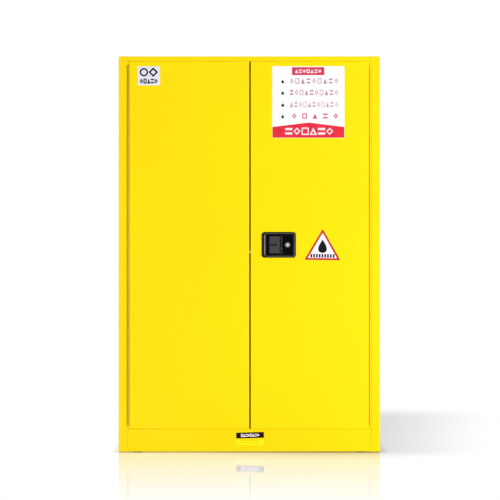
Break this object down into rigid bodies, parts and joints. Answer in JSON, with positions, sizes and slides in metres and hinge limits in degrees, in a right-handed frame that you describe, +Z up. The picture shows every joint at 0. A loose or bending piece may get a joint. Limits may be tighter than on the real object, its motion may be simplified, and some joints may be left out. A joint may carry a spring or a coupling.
{
  "type": "flammable storage cabinet",
  "caption": "Double-walled steel safety cabinet with paired hinged doors, a recessed paddle latch and lock, adjustable shelves, a sump, vents, an earthing stud and levelling feet.",
  "frame": {"origin": "on the floor under the middle of the bounding box", "axes": "+X to the right as seen from the front, +Y to the back, +Z up; the doors face -Y"},
  "size_m": [1.114, 0.4645, 1.65],
  "materials": {
    "case_paint": "yellow powder coat, semi-gloss",
    "door_paint": "yellow powder coat, semi-gloss",
    "liner_paint": "yellow powder coat inside the cabinet",
    "sump_paint": "yellow powder coat, thicker in the sump",
    "galvanised": "galvanised sheet",
    "zinc_steel": "zinc plated",
    "hinge_paint": "yellow powder coat over the rolled knuckles",
    "hinge_pin_steel": "bright drawn wire",
    "black_zinc": "black textured moulding",
    "paddle_black": "black satin moulding",
    "chrome": "polished",
    "stainless": "bright",
    "brass": "plain brass",
    "rubber": "black",
    "spring_steel": "spring wire",
    "white_label": "vinyl label, white with blank panels",
    "red_label": "vinyl label, red border",
    "black_label": "vinyl label, dark",
    "vent_steel": "yellow powder coat",
    "cap_steel": "zinc plated steel",
    "screen_steel": "perforated screen"
  },
  "bodies": {
    "cabinet": {"outer_left_side": "case_paint", "outer_right_side": "case_paint", "outer_back": "case_paint", "outer_top": "case_paint", "outer_base": "case_paint", "header": "case_paint", "sill": "case_paint", "liner_side_panels": "liner_paint", "liner_back_panel": "liner_paint", "liner_ceiling": "liner_paint", "sump_tray": "sump_paint", "wall_spacers": "galvanised", "shelf_uprights": "galvanised", "shelf_hangers": "galvanised", "left_vent_fitting": "vent_steel", "right_vent_fitting": "vent_steel", "flame_arresters": "screen_steel", "earth_stud": "brass", "earth_nut": "brass", "foot_inserts": "zinc_steel", "left_hinge_frame_leaf": "hinge_paint", "right_hinge_frame_leaf": "hinge_paint", "hinge_pins": "hinge_pin_steel", "strike_plates": "stainless", "door_bumpers": "rubber", "caution_label": "black_label"},
    "left_door": {"left_hinge_door_leaf": "hinge_paint", "left_door_skin": "door_paint", "left_door_liner": "door_paint", "left_door_stiffeners": "galvanised", "astragal": "door_paint", "centre_keeper": "zinc_steel", "approval_label": "white_label"},
    "right_door": {"right_hinge_door_leaf": "hinge_paint", "right_door_skin": "door_paint", "right_door_liner": "door_paint", "right_door_stiffeners": "galvanised", "handle_housing": "black_zinc", "handle_fasteners": "zinc_steel", "latch_cover": "door_paint", "rod_guides": "zinc_steel", "rotor_pivot": "zinc_steel", "lock_barrel": "chrome", "paddle_spring": "spring_steel", "notice_label": "white_label", "hazard_label": "red_label"},
    "paddle": {"paddle": "paddle_black"},
    "latch_rotor": {"latch_rotor": "zinc_steel"},
    "upper_latch_rod": {"upper_latch_rod": "stainless"},
    "lower_latch_rod": {"lower_latch_rod": "stainless"},
    "centre_bolt": {"centre_bolt": "stainless"},
    "lock_plug": {"lock_plug": "chrome"},
    "upper_shelf": {"upper_shelf": "galvanised"},
    "lower_shelf": {"lower_shelf": "galvanised"},
    "left_vent_cap": {"left_vent_cap": "cap_steel"},
    "right_vent_cap": {"right_vent_cap": "cap_steel"},
    "front_left_foot": {"front_left_foot": "rubber"},
    "rear_left_foot": {"rear_left_foot": "rubber"},
    "front_right_foot": {"front_right_foot": "rubber"},
    "rear_right_foot": {"rear_right_foot": "rubber"}
  },
  "joints": [
    {"name": "left_door_hinge", "type": "hinge", "parent": "cabinet", "child": "left_door", "pos_m": [-0.5046, -0.22925, 0.86], "axis": [0, 0, -1], "range_deg": [0, 180]},
    {"name": "right_door_hinge", "type": "hinge", "parent": "cabinet", "child": "right_door", "pos_m": [0.5046, -0.22925, 0.86], "axis": [0, 0, 1], "range_deg": [0, 180]},
    {"name": "paddle_pull", "type": "hinge", "parent": "right_door", "child": "paddle", "pos_m": [0.133, -0.21775, 0.864], "axis": [0, 0, 1], "range_deg": [0, 35], "stiffness_Nm_per_rad": 0.6, "springref_deg": -22.92},
    {"name": "rotor_turn", "type": "hinge", "parent": "right_door", "child": "latch_rotor", "pos_m": [0.1282, -0.19775, 0.857], "axis": [0, -1, 0], "range_deg": [0, 35]},
    {"name": "upper_rod_slide", "type": "slide", "parent": "right_door", "child": "upper_latch_rod", "axis": [0, 0, -1], "range_m": [0, 0.01203]},
    {"name": "lower_rod_slide", "type": "slide", "parent": "right_door", "child": "lower_latch_rod", "axis": [0, 0, 1], "range_m": [0, 0.01203]},
    {"name": "centre_bolt_slide", "type": "slide", "parent": "right_door", "child": "centre_bolt", "axis": [1, 0, 0], "range_m": [0, 0.01443]},
    {"name": "lock_turn", "type": "hinge", "parent": "right_door", "child": "lock_plug", "pos_m": [0.1593, -0.22775, 0.864], "axis": [0, 1, 0], "range_deg": [-90, 0]},
    {"name": "upper_shelf_lift", "type": "slide", "parent": "cabinet", "child": "upper_shelf", "axis": [0, 0, 1], "range_m": [0, 0.03]},
    {"name": "lower_shelf_lift", "type": "slide", "parent": "cabinet", "child": "lower_shelf", "axis": [0, 0, 1], "range_m": [0, 0.03]},
    {"name": "left_vent_cap_out", "type": "slide", "parent": "cabinet", "child": "left_vent_cap", "axis": [-1, 0, 0], "range_m": [0, 0.025]},
    {"name": "right_vent_cap_out", "type": "slide", "parent": "cabinet", "child": "right_vent_cap", "axis": [1, 0, 0], "range_m": [0, 0.025]},
    {"name": "front_left_foot_screw", "type": "slide", "parent": "cabinet", "child": "front_left_foot", "axis": [0, 0, -1], "range_m": [0, 0.025]},
    {"name": "rear_left_foot_screw", "type": "slide", "parent": "cabinet", "child": "rear_left_foot", "axis": [0, 0, -1], "range_m": [0, 0.025]},
    {"name": "front_right_foot_screw", "type": "slide", "parent": "cabinet", "child": "front_right_foot", "axis": [0, 0, -1], "range_m": [0, 0.025]},
    {"name": "rear_right_foot_screw", "type": "slide", "parent": "cabinet", "child": "rear_right_foot", "axis": [0, 0, -1], "range_m": [0, 0.025]}
  ],
  "couplings": [
    {"joint": "paddle_pull", "follows": "upper_rod_slide", "rad_per_m": 50.787},
    {"joint": "rotor_turn", "follows": "upper_rod_slide", "rad_per_m": 50.787},
    {"joint": "lower_rod_slide", "follows": "upper_rod_slide", "ratio": 1},
    {"joint": "centre_bolt_slide", "follows": "upper_rod_slide", "ratio": 1.2}
  ]
}
